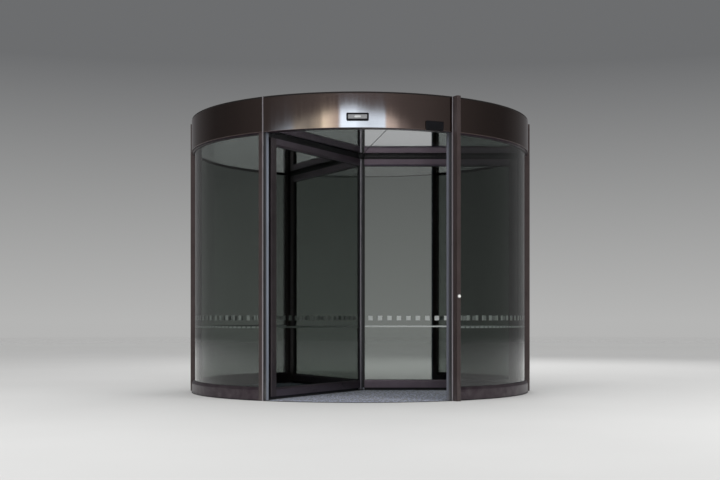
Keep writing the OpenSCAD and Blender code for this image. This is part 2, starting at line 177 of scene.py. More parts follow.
# Camera of the photograph, from a fit to the rings of the drum
IMAGE_W = 720
IMAGE_H = 480
CAMERA_AT = (0.141, -10.608, 0.670)
FOCAL_PX = 1127.2
AXIS_X_PX = 375.17
HORIZON_Y_PX = 319.34
SENSOR_MM = 36.0

# Studio floor: half its side, its depth below the part, where it fades into the backdrop, and the
# distances from which and strength with which a painted glow brightens it where the ceiling mirrors it
STAGE_HALF = 60.0
STAGE_DEPTH = 0.0005
STAGE_FADE = (6.0, 34.0)
STAGE_GLOW_FROM = (5.0, 9.0)
STAGE_GLOW = 1.35

# Softboxes: name, place, target, width, height and power
SOFTBOXES = (
    ("key", (-4.5, -6.5, 6.0), (0, 0, 1.2), 4.0, 3.0, 410),
    ("fill", (6.0, -5.0, 3.5), (0, 0, 1.2), 3.0, 3.0, 240),
    ("rear", (2.5, 7.0, 5.5), (0, 0, 1.4), 4.0, 2.5, 300))

# Long panel that lights the canopy: its plane and edges, its power per area and the width of its soft edge
HEADER_PANEL_Y = -3.1
HEADER_PANEL_X = (-4.9, 2.2)
HEADER_PANEL_Z = (1.5, 2.85)
HEADER_POWER = 46.0
HEADER_SOFT = 0.05
COOL = (0.555, 0.81, 1.03)
WARM = (1.0, 0.98, 0.90)
GOLD = (1.0, 1.05, 0.88)
MILD = (0.96, 0.98, 0.95)
OLIVE = (0.90, 1.02, 0.93)
WHITE = (1.0, 1.0, 1.0)

# The panel's glow: place along it, height where it ends, strength and colour
HEADER_GLOW = (
    (-4.9, 2.76, 0.0, WHITE),
    (-3.7, 2.72, 0.05, COOL),
    (-3.1, 2.69, 0.13, COOL),
    (-2.2, 2.63, 0.21, COOL),
    (-1.9, 2.62, 0.14, OLIVE),
    (-1.4, 2.63, 0.08, OLIVE),
    (-1.05, 2.63, 0.15, GOLD),
    (-0.92, 2.63, 0.34, GOLD),
    (-0.51, 2.64, 0.16, WARM),
    (-0.45, 2.655, 0.66, COOL),
    (-0.10, 2.655, 0.68, COOL),
    (0.05, 2.64, 0.54, COOL),
    (0.30, 2.615, 0.48, COOL),
    (0.67, 2.615, 0.54, COOL),
    (0.72, 2.60, 0.25, MILD),
    (1.0, 2.58, 0.17, MILD),
    (1.15, 2.58, 0.06, WHITE),
    (1.6, 2.58, 0.01, WHITE))


# Material tools

def new_material(name, colour, roughness, metallic=0.0):
    """A material with its Principled shader set, and that shader."""
    mat = bpy.data.materials.new(name)
    mat.use_nodes = True
    shader = mat.node_tree.nodes["Principled BSDF"]
    shader.inputs["Base Color"].default_value = (*colour, 1)
    shader.inputs["Roughness"].default_value = roughness
    shader.inputs["Metallic"].default_value = metallic
    return mat, mat.node_tree, shader


def node(tree, kind, *inputs, **settings):
    """A new node with its settings, and its inputs linked or set in order."""
    made = tree.nodes.new("ShaderNode" + kind)
    for key, value in settings.items():
        setattr(made, key, value)
    for socket, value in zip(made.inputs, inputs):
        if isinstance(value, bpy.types.NodeSocket):
            tree.links.new(value, socket)
        elif value is not None:
            socket.default_value = value
    return made


def calc(tree, operation, *inputs):
    """The result of a sum on sockets and numbers."""
    return node(tree, "Math", *inputs, operation=operation).outputs[0]


def place(tree):
    """The surface point in the part's frame."""
    return node(tree, "TexCoord").outputs["Object"]


def from_axis(tree, xyz):
    """Distance from the part's upright axis."""
    return calc(tree, "SQRT", calc(tree, "ADD", calc(tree, "MULTIPLY", xyz[0], xyz[0]),
                                   calc(tree, "MULTIPLY", xyz[1], xyz[1])))


def stretched(tree, way, along, across):
    """Texture space with the given frequencies along and across a working direction."""
    point = place(tree)
    if way == "up":
        return node(tree, "VectorMath", point, (across, across, along), operation="MULTIPLY").outputs[0]
    xyz = node(tree, "SeparateXYZ", point).outputs
    radius = from_axis(tree, xyz)
    height = calc(tree, "MULTIPLY", xyz[2], across)
    if way == "radial":
        return node(tree, "CombineXYZ", calc(tree, "MULTIPLY", radius, along), height, 0.0).outputs[0]
    turn = calc(tree, "ARCTAN2", xyz[1], xyz[0])
    return node(tree, "CombineXYZ", calc(tree, "MULTIPLY", turn, OUTER_R * along), height,
                calc(tree, "MULTIPLY", radius, across)).outputs[0]


def noise(tree, vector, scale, detail=3.0, roughness=0.5):
    """The value of a noise over a texture space."""
    made = node(tree, "TexNoise")
    tree.links.new(vector, made.inputs["Vector"])
    made.inputs["Scale"].default_value = scale
    made.inputs["Detail"].default_value = detail
    made.inputs["Roughness"].default_value = roughness
    return made.outputs["Fac"]


def spread(tree, value, low, high, out_low, out_high):
    """The value moved from one range to another, with its ends clamped."""
    return node(tree, "MapRange", value, low, high, out_low, out_high).outputs[0]


def blend(tree, share, colour_a, colour_b):
    """A colour between two, each a colour or a socket."""
    mix = node(tree, "Mix", data_type="RGBA")
    for index, value in ((0, share), (6, colour_a), (7, colour_b)):
        if isinstance(value, bpy.types.NodeSocket):
            tree.links.new(value, mix.inputs[index])
        elif index == 0:
            mix.inputs[0].default_value = value
        else:
            mix.inputs[index].default_value = (*value, 1)
    return mix.outputs[2]


def mottled(tree, cloud, colour_a, colour_b, low=0.3, high=0.7):
    """Two tones in soft patches, by the value of a noise between low and high."""
    return blend(tree, spread(tree, cloud, low, high, 0.0, 1.0), colour_a, colour_b)


def bump(tree, shader, height, strength, depth):
    """Fine relief on a shader, from a height."""
    made = node(tree, "Bump")
    made.inputs["Strength"].default_value = strength
    made.inputs["Distance"].default_value = depth
    tree.links.new(height, made.inputs["Height"])
    tree.links.new(made.outputs[0], shader.inputs["Normal"])


def dusted(tree, tone, height, dust):
    """The tone under thin dust that starts at the floor and is gone at a height, broken up by noise."""
    fade = spread(tree, node(tree, "SeparateXYZ", place(tree)).outputs[2], 0.0, height, 1.0, 0.0)
    patches = spread(tree, noise(tree, place(tree), 14.0), 0.35, 0.75, 0.1, 1.0)
    share = calc(tree, "MULTIPLY", calc(tree, "MULTIPLY", fade, patches), 0.3)
    return blend(tree, share, tone, dust)


# Materials

# Two tones of the bronze and its share of bare metal, by the working direction
BRONZE = {
    "up": ((0.051, 0.038, 0.037), (0.066, 0.049, 0.048), 0.45),
    "ring": ((0.034, 0.023, 0.030), (0.043, 0.029, 0.038), 0.6),
    "radial": ((0.17, 0.138, 0.165), (0.21, 0.173, 0.205), 0.9),
    "stiles": ((0.12, 0.100, 0.108), (0.155, 0.130, 0.140), 0.9)}
# Lighter tone of the half-round strips: a painted highlight that stands for their bright line.
STRIP_HIGHLIGHT_TONE = (0.42, 0.40, 0.42)
STRIP_METAL = 0.9
STILE_BLACK = (0.006, 0.006, 0.007)
FACE_SPARE = 0.0002


def bronze_satin(way, name=None):
    """Dark bronze anodised profile with faint draw lines along its length."""
    low, high, metal = BRONZE[way]
    mat, tree, shader = new_material("bronze_satin_" + (name or way), high, 0.36, metal)
    lines = noise(tree, stretched(tree, "up" if way == "stiles" else way, 1.5, 900.0), 1.0, 2.0)
    cloud = noise(tree, place(tree), 5.0, 4.0, 0.6)
    tone = dusted(tree, mottled(tree, cloud, low, high), 0.22, (0.24, 0.22, 0.22))
    tree.links.new(tone, shader.inputs["Base Color"])
    sheen = calc(tree, "ADD", spread(tree, lines, 0.3, 0.7, 0.27, 0.36),
                 spread(tree, cloud, 0.3, 0.7, -0.03, 0.05))
    tree.links.new(sheen, shader.inputs["Roughness"])
    bump(tree, shader, lines, 0.12, 0.0002)
    return mat


def cover_bronze():
    """The bronze of the fins, darkened a little as painted shade, with the half-round strips beside them in
    a lighter satin tone that paints their highlight.
    """
    mat = bronze_satin("up", "covers")
    tree = mat.node_tree
    shader = tree.nodes["Principled BSDF"]
    tone = shader.inputs["Base Color"].links[0].from_socket
    xyz = node(tree, "SeparateXYZ", place(tree)).outputs
    sideways = FRONT_SEAM + math.pi / 2
    across = calc(tree, "ADD", calc(tree, "MULTIPLY", xyz[0], math.cos(sideways)),
                  calc(tree, "MULTIPLY", xyz[1], math.sin(sideways)))
    from_seam = calc(tree, "MULTIPLY", across, calc(tree, "SIGN", calc(tree, "MULTIPLY", xyz[1], -1.0)))
    fin = calc(tree, "COMPARE", from_seam, FIN_W / 2, FIN_W / 2 + FACE_SPARE)
    # Painted shade: the fin's bronze is mixed a little toward black.
    shaded = blend(tree, 0.08, tone, (0.0, 0.0, 0.0))
    # The strips take the lighter tone, a painted highlight, and the fin takes the bronze with painted shade.
    tree.links.new(blend(tree, fin, STRIP_HIGHLIGHT_TONE, shaded), shader.inputs["Base Color"])
    tree.links.new(spread(tree, fin, 0.0, 1.0, STRIP_METAL, BRONZE["up"][2]), shader.inputs["Metallic"])
    return mat


def stile_bronze():
    """The bronze of the wing stiles, with the narrow stile beside the shaft in black."""
    mat = bronze_satin("stiles")
    tree = mat.node_tree
    shader = tree.nodes["Principled BSDF"]
    tone = shader.inputs["Base Color"].links[0].from_socket
    radius = from_axis(tree, node(tree, "SeparateXYZ", place(tree)).outputs)
    near = calc(tree, "LESS_THAN", radius, 2 * WING_RAILS[0].x)
    tree.links.new(blend(tree, near, tone, STILE_BLACK), shader.inputs["Base Color"])
    tree.links.new(spread(tree, near, 0.0, 1.0, BRONZE["stiles"][2], 0.0), shader.inputs["Metallic"])
    return mat


def bronze_brushed():
    """Canopy sheet, ground along its length, so that reflections spread up and down."""
    mat, tree, shader = new_material("bronze_brushed", (0.13, 0.112, 0.108), 0.18, 1.0)
    shader.inputs["Anisotropic"].default_value = 0.8
    shader.inputs["Anisotropic Rotation"].default_value = 0.25
    tangent = node(tree, "Tangent", direction_type="RADIAL", axis="Z")
    tree.links.new(tangent.outputs[0], shader.inputs["Tangent"])
    grain = noise(tree, stretched(tree, "ring", 4.0, 1400.0), 1.0, 2.0)
    waves = noise(tree, stretched(tree, "ring", 7.0, 0.6), 1.0, 1.0)
    streaks = noise(tree, stretched(tree, "ring", 55.0, 0.8), 1.0, 3.0, 0.65)
    tone = mottled(tree, grain, (0.130, 0.099, 0.089), (0.158, 0.121, 0.108))
    tree.links.new(tone, shader.inputs["Base Color"])
    tree.links.new(spread(tree, streaks, 0.3, 0.7, 0.075, 0.105), shader.inputs["Roughness"])
    broad = calc(tree, "ADD", calc(tree, "MULTIPLY", waves, 0.7), calc(tree, "MULTIPLY", streaks, 0.01))
    bump(tree, shader, calc(tree, "ADD", calc(tree, "MULTIPLY", grain, 0.02), broad), 0.5, 0.002)
    return mat


def satin_steel(name, colour, roughness, way):
    """Satin steel or aluminium with fine lines and small scratches."""
    mat, tree, shader = new_material(name, colour, roughness, 1.0)
    lines = noise(tree, stretched(tree, way, 3.0, 800.0), 1.0, 2.0)
    scuffs = noise(tree, place(tree), 9.0, 5.0, 0.7)
    dark = tuple(0.78 * c for c in colour)
    tree.links.new(mottled(tree, scuffs, dark, colour, 0.35, 0.65), shader.inputs["Base Color"])
    wear = calc(tree, "ADD", spread(tree, lines, 0.3, 0.7, roughness - 0.06, roughness + 0.06),
                spread(tree, scuffs, 0.4, 0.7, 0.0, 0.10))
    tree.links.new(wear, shader.inputs["Roughness"])
    bump(tree, shader, lines, 0.15, 0.0002)
    return mat


def edge_rubber():
    """Blue-grey safety profile with painted shade: darker on the posts where the wings close, and black at
    its front edge, in the shade behind the strips.
    """
    mat, tree, shader = new_material("edge_rubber", (0.15, 0.165, 0.195), 0.42)
    cloud = noise(tree, stretched(tree, "up", 2.0, 40.0), 1.0, 4.0)
    fine = noise(tree, place(tree), 900.0, 2.0)
    tone = mottled(tree, cloud, (0.165, 0.184, 0.222), (0.22, 0.244, 0.292))
    xyz = node(tree, "SeparateXYZ", place(tree)).outputs
    # Painted shade: the profiles on the posts where the wings close are darker.
    closing_shade = spread(tree, calc(tree, "MULTIPLY", xyz[0], xyz[1]), -0.1, 0.1, 1.0, 0.0)
    tone = blend(tree, closing_shade, tone, (0.105, 0.108, 0.130))
    # Painted shade: the profile's front, in the shade behind the strip, is black.
    nose_shade = spread(tree, from_axis(tree, xyz), EDGE_R - 0.016, EDGE_R - 0.006, 0.0, 1.0)
    tone = blend(tree, nose_shade, tone, (0.022, 0.023, 0.026))
    tree.links.new(dusted(tree, tone, 0.3, (0.26, 0.26, 0.25)), shader.inputs["Base Color"])
    tree.links.new(spread(tree, cloud, 0.3, 0.7, 0.36, 0.48), shader.inputs["Roughness"])
    bump(tree, shader, fine, 0.1, 0.0002)
    return mat


def window_glass(name, tint, shade):
    """Green-grey tinted glass that lets lamps through in the shade colour."""
    mat, tree, shader = new_material(name, tint, 0.0)
    shader.inputs["Transmission Weight"].default_value = 1.0
    shader.inputs["IOR"].default_value = 1.5
    film = noise(tree, place(tree), 3.0, 4.0, 0.6)
    tree.links.new(spread(tree, film, 0.45, 0.8, 0.0, 0.002), shader.inputs["Roughness"])
    path = node(tree, "LightPath")
    clear = node(tree, "BsdfTransparent", (*shade, 1))
    mix = node(tree, "MixShader", path.outputs["Is Shadow Ray"], shader.outputs[0], clear.outputs[0])
    tree.links.new(mix.outputs[0], tree.nodes["Material Output"].inputs["Surface"])
    return mat


def mirror_steel():
    """Polished ceiling panel with a slight waviness."""
    mat, tree, shader = new_material("mirror_steel", (0.92, 0.92, 0.93), 0.05, 1.0)
    waves = noise(tree, place(tree), 1.6, 1.0)
    haze = noise(tree, place(tree), 6.0, 5.0, 0.6)
    tree.links.new(spread(tree, haze, 0.4, 0.7, 0.03, 0.08), shader.inputs["Roughness"])
    bump(tree, shader, waves, 0.3, 0.002)
    return mat


def carpet():
    """Blue-grey entrance carpet with light flecks and short pile."""
    mat, tree, shader = new_material("carpet", (0.09, 0.10, 0.12), 0.95)
    point = place(tree)
    pile = node(tree, "TexVoronoi", feature="F1")
    tree.links.new(point, pile.inputs["Vector"])
    pile.inputs["Scale"].default_value = 230.0
    ribs = node(tree, "VectorMath", point, (46.0, 7.0, 1.0), operation="MULTIPLY").outputs[0]
    fleck = spread(tree, noise(tree, ribs, 1.0, 3.0, 0.75), 0.46, 0.58, 0.0, 1.0)
    patch = noise(tree, point, 7.0, 5.0, 0.65)
    base = mottled(tree, patch, (0.015, 0.020, 0.038), (0.028, 0.036, 0.062))
    flecked = blend(tree, calc(tree, "MULTIPLY", fleck, 0.8), base, (0.17, 0.21, 0.33))
    trodden = spread(tree, noise(tree, point, 1.7, 3.0), 0.5, 0.75, 0.0, 0.15)
    tree.links.new(blend(tree, trodden, flecked, (0.28, 0.28, 0.28)), shader.inputs["Base Color"])
    shader.inputs["Sheen Weight"].default_value = 0.3
    bump(tree, shader, pile.outputs["Distance"], 0.8, 0.003)
    return mat


def dark_plastic(name, colour, roughness, grain, gloss=0.5):
    """Moulded plastic or rubber with a fine grain."""
    mat, tree, shader = new_material(name, colour, roughness)
    shader.inputs["Specular IOR Level"].default_value = gloss
    cloud = noise(tree, place(tree), 25.0, 3.0)
    light = tuple(1.35 * c for c in colour)
    tree.links.new(mottled(tree, cloud, colour, light), shader.inputs["Base Color"])
    uneven = spread(tree, cloud, 0.3, 0.7, roughness - 0.05, roughness + 0.05)
    tree.links.new(uneven, shader.inputs["Roughness"])
    bump(tree, shader, noise(tree, place(tree), grain, 2.0), 0.2, 0.0003)
    return mat


def roof_sheet():
    """Dull coated sheet of the roof cover, with rain marks and dust on top, and black at its rim as painted
    shade.
    """
    mat, tree, shader = new_material("roof_sheet", (0.10, 0.085, 0.08), 0.6, 0.3)
    cloud = noise(tree, place(tree), 2.2, 6.0, 0.65)
    marks = noise(tree, place(tree), 16.0, 4.0, 0.7)
    tone = mottled(tree, cloud, (0.075, 0.062, 0.060), (0.17, 0.155, 0.145), 0.35)
    dusty = blend(tree, spread(tree, marks, 0.55, 0.75, 0.0, 0.4), tone, (0.24, 0.225, 0.21))
    height = node(tree, "SeparateXYZ", place(tree)).outputs[2]
    # Painted shade: below the top face the rim is black, for the dark line along the canopy's top edge.
    on_top = spread(tree, height, TOP_Z - 0.0015, TOP_Z - 0.0005, 0.0, 1.0)
    tree.links.new(blend(tree, on_top, (0.010, 0.009, 0.009), dusty), shader.inputs["Base Color"])
    tree.links.new(spread(tree, cloud, 0.3, 0.7, 0.5, 0.72), shader.inputs["Roughness"])
    bump(tree, shader, marks, 0.1, 0.0005)
    return mat


def mark_film():
    """Pale vinyl of the safety marks on the glass."""
    mat, tree, shader = new_material("mark_film", (0.55, 0.57, 0.56), 0.5)
    cloud = noise(tree, place(tree), 60.0, 2.0)
    tree.links.new(blend(tree, cloud, (0.50, 0.52, 0.51), (0.62, 0.64, 0.63)), shader.inputs["Base Color"])
    return mat


MATERIALS = {
    "bronze_up": bronze_satin("up"),
    "covers": cover_bronze(),
    "stiles": stile_bronze(),
    "bronze_ring": bronze_satin("ring"),
    "bronze_radial": bronze_satin("radial"),
    "fascia": bronze_brushed(),
    "floor_steel": satin_steel("floor_steel", (0.070, 0.070, 0.075), 0.42, "ring"),
    "shaft_steel": satin_steel("shaft_steel", (0.40, 0.385, 0.42), 0.42, "up"),
    "screw": satin_steel("screw_steel", (0.30, 0.30, 0.31), 0.35, "up"),
    "carrier": satin_steel("carrier_metal", (0.030, 0.029, 0.031), 0.40, "up"),
    "drive_paint": dark_plastic("drive_paint", (0.16, 0.165, 0.17), 0.5, 500.0),
    "edge": edge_rubber(),
    "glass": window_glass("tinted_glass", (0.31, 0.335, 0.318), (0.56, 0.59, 0.57)),
    "mirror": mirror_steel(),
    "carpet": carpet(),
    "brush": dark_plastic("brush_nylon", (0.012, 0.012, 0.013), 0.6, 1500.0),
    "bristle": dark_plastic("bristle_nylon", (0.010, 0.010, 0.011), 0.55, 2500.0),
    "rubber": dark_plastic("gasket_rubber", (0.013, 0.013, 0.014), 0.6, 1800.0),
    "smoked_reflection": dark_plastic("smoked_window", (0.15, 0.152, 0.158), 0.12, 60.0),
    # The window's grey is partly its smoked tint and partly a painted reflection.
    "lens": dark_plastic("pale_lens", (0.34, 0.35, 0.35), 0.2, 60.0),
    "sensor": dark_plastic("sensor_plastic", (0.004, 0.004, 0.005), 0.55, 1200.0, 0.1),
    "roof": roof_sheet(),
    "button": dark_plastic("button_plastic", (0.62, 0.62, 0.60), 0.3, 900.0),
    "film": mark_film(),
}


def material_of(name):
    """The finish of a CAD node, by its name."""
    if name.startswith("wing_"):
        return {"stiles": "stiles", "rails": "bronze_radial", "glass": "glass", "brushes": "brush"}[name[7:]]
    for start, finish in (("floor_mat", "carpet"), ("floor_", "floor_steel"), ("post_covers", "covers"),
                          ("post_", "bronze_up"), ("edge_", "edge"), ("mullion_", "bronze_up"),
                          ("base_rail", "bronze_ring"), ("top_rail", "bronze_ring"), ("glass_", "glass"),
                          ("fascia_", "fascia"), ("canopy_ring", "bronze_ring"), ("ceiling_", "mirror"),
                          ("roof_", "roof"), ("drive_", "drive_paint"), ("motion_", "sensor"),
                          ("safety_", "sensor"), ("access_", "button"), ("centre_shaft", "shaft_steel")):
        if name.startswith(start):
            return finish
    raise ValueError(name)


def dress_nodes():
    """Puts the finishes into the slots of the CAD nodes."""
    for name, obj in NODES.items():
        for slot in obj.material_slots:
            slot.material = MATERIALS[material_of(name)]


# Mesh tools

def axes_at(angle):
    """Unit vectors outward, sideways and up at a direction round the drum."""
    out = Vector((math.cos(angle), math.sin(angle), 0))
    side = Vector((-math.sin(angle), math.cos(angle), 0))
    return out, side, Vector((0, 0, 1))


def flat_at(angle):
    """Places a point given outward, across and up at a direction."""
    out, side, up = axes_at(angle)
    return lambda s, t, z: s * out + t * side + z * up


def bent_at(angle, turn):
    """Places a point given along the middle of the wall glass from a direction, outward from it and up."""
    def at(s, t, z):
        a = angle + turn * s / GLASS_MID
        return Vector(((GLASS_MID + t) * math.cos(a), (GLASS_MID + t) * math.sin(a), z))
    return at


def facing(angle, radius, height):
    """Places a point given sideways, up and outward from a spot on a front face."""
    out, side, up = axes_at(angle)
    return lambda x, y, z: (radius + z) * out + x * side + (height + y) * up


def run(start, end, step):
    """Values from start to end in even steps no longer than a step."""
    return np.linspace(start, end, max(1, math.ceil(abs(end - start) / step)) + 1)


class Shape:
    """Points and faces that grow part by part, each point put in its place by a function."""

    def __init__(self, place_point):
        self.place_point = place_point
        self.verts = []
        self.faces = []

    def add(self, points, faces):
        start = len(self.verts)
        self.verts.extend(self.place_point(*point) for point in points)
        self.faces.extend(tuple(start + i for i in face) for face in faces)

    def loft(self, rings, closed=False):
        """Skin through rings of equal length, joined end to end or with both ends capped."""
        count = len(rings[0])
        total = len(rings)
        faces = []
        for k in range(total if closed else total - 1):
            near, far = k * count, (k + 1) % total * count
            for i in range(count):
                j = (i + 1) % count
                faces.append((near + i, near + j, far + j, far + i))
        if not closed:
            faces.append(tuple(range(count - 1, -1, -1)))
            faces.append(tuple((total - 1) * count + i for i in range(count)))
        self.add([point for ring in rings for point in ring], faces)

    def frame_bar(self, section, corners, closed):
        """Mitred bar along corners in the plane of a pane, its section across and to the path's right."""
        total = len(corners)
        rings = []
        for k, (s, z) in enumerate(corners):
            before = corners[k - 1] if closed or k > 0 else None
            after = corners[(k + 1) % total] if closed or k < total - 1 else None
            normals = []
            for a, b in ((before, (s, z)), ((s, z), after)):
                if a is not None and b is not None:
                    length = math.hypot(b[0] - a[0], b[1] - a[1])
                    normals.append(((b[1] - a[1]) / length, (a[0] - b[0]) / length))
            nx = sum(n[0] for n in normals) / len(normals)
            nz = sum(n[1] for n in normals) / len(normals)
            scale = 1 / (nx * nx + nz * nz)
            rings.append([(s + v * nx * scale, t, z + v * nz * scale) for t, v in section])
        self.loft(rings, closed)

    def strip(self, s_values, t0, t1, z0, z1):
        """Thin strip that follows a pane."""
        self.loft([[(s, t0, z0), (s, t1, z0), (s, t1, z1), (s, t0, z1)] for s in s_values])

    def plate(self, outline, z0, z1, bevel):
        """Plate from an outline, with its far edge bevelled towards its middle."""
        cx = (min(p[0] for p in outline) + max(p[0] for p in outline)) / 2
        cy = (min(p[1] for p in outline) + max(p[1] for p in outline)) / 2
        half_w = max(p[0] for p in outline) - cx
        half_h = max(p[1] for p in outline) - cy
        rings = []
        for z, inset in ((z0, 0), (z1 - bevel, 0), (z1 - 0.3 * bevel, 0.3 * bevel), (z1, bevel)):
            kx, ky = 1 - inset / half_w, 1 - inset / half_h
            rings.append([(cx + (x - cx) * kx, cy + (y - cy) * ky, z) for x, y in outline])
        self.loft(rings)

    def ring(self, profile, across=0.0):
        """Ring from a profile of radius and height, its middle moved to the side."""
        self.loft([[(across + r * math.cos(a), r * math.sin(a), z) for r, z in profile]
                   for a in np.linspace(0, 2 * math.pi, RING_STEPS + 1)[:-1]], closed=True)

    def screw(self, x, y, z, radius, height):
        """Raised head with a hexagonal socket."""
        rings = []
        for share, level, hexed in ((1, 0, False), (1, 0.45, False), (0.82, 0.9, False),
                                    (0.6, 1, False), (0.46, 1, True), (0.42, 0.3, True)):
            ring = []
            for k in range(SCREW_SIDES):
                a = 2 * math.pi * k / SCREW_SIDES
                near = math.cos(math.pi / 6) / math.cos(a % (math.pi / 3) - math.pi / 6) if hexed else 1.0
                r = share * radius * near
                ring.append((x + r * math.cos(a), y + r * math.sin(a), z + level * height))
            rings.append(ring)
        self.loft(rings)

    def piece(self, name, finish, body, smooth=True):
        """The finished object, on its body and with its finish."""
        mesh = bpy.data.meshes.new(name)
        mesh.from_pydata(self.verts, [], self.faces)
        work = bmesh.new()
        work.from_mesh(mesh)
        bmesh.ops.recalc_face_normals(work, faces=work.faces)
        work.to_mesh(mesh)
        work.free()
        if smooth:
            mesh.shade_smooth()
            mesh.set_sharp_from_angle(angle=SHARP_ANGLE)
        mesh.materials.append(MATERIALS[finish])
        made = bpy.data.objects.new(name, mesh)
        bpy.context.scene.collection.objects.link(made)
        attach(made, body)
        return made


def rounded(w, h, c):
    """Outline of a rectangle with round corners about its middle."""
    points = []
    for turn, (sx, sy) in enumerate(((1, 1), (-1, 1), (-1, -1), (1, -1))):
        for k in range(CORNER_STEPS + 1):
            a = math.pi / 2 * (turn + k / CORNER_STEPS)
            points.append((sx * (w / 2 - c) + c * math.cos(a), sy * (h / 2 - c) + c * math.sin(a)))
    return points


def as_given(x, y, z):
    """Places a point given in the part's frame."""
    return Vector((x, y, z))


# Glass: safety marks and gaskets

def wall_panes():
    """Name, first direction, turning sense and visible length of each curved pane."""
    post = math.asin(POST_W / GLASS_MID)
    side = math.asin(MULLION_HALF / GLASS_MID)
    for name, middle, turn, mullion in (("front_left", FRONT - HALF_OPENING, -1, math.pi),
                                        ("front_right", FRONT_SEAM, 1, 2 * math.pi),
                                        ("rear_left", REAR + HALF_OPENING, 1, math.pi),
                                        ("rear_right", REAR - HALF_OPENING, -1, 0.0)):
        start = middle + turn * post
        yield name, start, turn, (abs(mullion - start) - side) * GLASS_MID


def add_marks(name, body, place_point, s0, s1, face, step):
    """Row of squares and a line below it, as film on the face of a pane."""
    shape = Shape(place_point)
    count = int((s1 - s0 - MARK_W) / MARK_PITCH) + 1
    first = (s0 + s1 - (count - 1) * MARK_PITCH) / 2
    t0, t1 = face - FILM_GAP - FILM_T, face - FILM_GAP
    for k in range(count):
        middle = first + k * MARK_PITCH
        shape.strip(run(middle - MARK_W / 2, middle + MARK_W / 2, step), t0, t1, MARK_Z, MARK_Z + MARK_W)
    shape.strip(run(s0 + FILM_GAP, s1 - FILM_GAP, step), t0, t1, LINE_Z, LINE_Z + LINE_H)
    shape.piece(name, "film", body, smooth=False)


def add_gaskets(name, body, place_point, s_range, z_range, half, step):
    """Wedges of rubber between the glass and its rails and stiles, on both faces of a pane."""
    shape = Shape(place_point)
    s0, s1 = s_range
    z0, z1 = z_range
    corners = [(s, z0) for s in run(s1, s0, step)] + [(s, z1) for s in run(s0, s1, step)]
    for way in (-1, 1):
        near = half + GASKET_GAP
        section = [(way * near, 0), (way * near, GASKET), (way * (near + 0.4 * GASKET), GASKET),
                   (way * (near + GASKET), 0.3 * GASKET), (way * (near + GASKET), 0)]
        shape.frame_bar(section, corners, closed=True)
    shape.piece(name, "rubber", body)


def dress_wall_glass():
    """Marks and gaskets of the curved panes."""
    half = (GLASS_OUT - GLASS_IN) / 2
    z_range = (BASE_TOP_Z, TOP_RAIL_Z)
    for name, start, turn, length in wall_panes():
        at = bent_at(start, turn)
        add_marks("marks_" + name, "enclosure", at, 0, length, -half, PANE_STEP)
        add_gaskets("gaskets_" + name, "enclosure", at, (0, length), z_range, half, PANE_STEP)


def dress_wing_glass(number, angle):
    """Marks and gaskets of the pane of a wing."""
    half = WING_GLASS[1].y
    s_range = (WING_RAILS[0].x, WING_RAILS[1].x)
    z_range = (WING_GLASS[0].z + GROOVE_D, WING_GLASS[1].z - GROOVE_D)
    add_marks("marks_wing_%d" % number, "rotor", flat_at(angle), *s_range, -half, 1.0)
    add_gaskets("gaskets_wing_%d" % number, "rotor", flat_at(angle), s_range, z_range, half, 2.0)


# Brush seals

def tuft_blocks(rng):
    """Corner points of every bristle tuft of the wing along +X, eight to a tuft."""
    x0, x1 = WING_BRUSHES[0].x, WING_STILES[1].x
    z0, z1 = WING_STILES[0].z, WING_STILES[1].z
    low, high = FLOOR_Z + TIP_GAP, CEILING_Z - TIP_GAP
    lean = TUFT_LEAN / 2
    runs = (((x0, z0), (x1, z0), (0, -1), z0 - low), ((x0, z1), (x1, z1), (0, 1), high - z1),
            ((x1, low + lean), (x1, high - lean), (1, 0), INNER_R - TIP_GAP - x1))
    across = np.array((0, 1, 0))
    for (xa, za), (xb, zb), (ox, oz), reach in runs:
        length = math.hypot(xb - xa, zb - za)
        count = int(length / TUFT_PITCH)
        along = np.array(((xb - xa) / length, 0, (zb - za) / length))
        out = np.array((ox, 0, oz))
        for row in (-1, 0, 1):
            spots = (np.arange(count) + 0.5 + 0.3 * row) * length / count
            root = np.array((xa, 0, za)) + spots[:, None] * along + row * TUFT_ROW * across
            tip = root + out * (reach - rng.random(count) * TUFT_UNEVEN)[:, None]
            tip = tip + (rng.random(count)[:, None] - 0.5) * TUFT_LEAN * along
            wide, thick = TUFT_PITCH * 0.47 * along, TUFT_T / 2 * across
            corners = ((-1, -1), (1, -1), (1, 1), (-1, 1))
            block = [root + s * wide + t * thick for s, t in corners]
            block += [tip + 0.8 * s * wide + 0.7 * t * thick for s, t in corners]
            yield np.stack(block, axis=1).reshape(-1, 3)


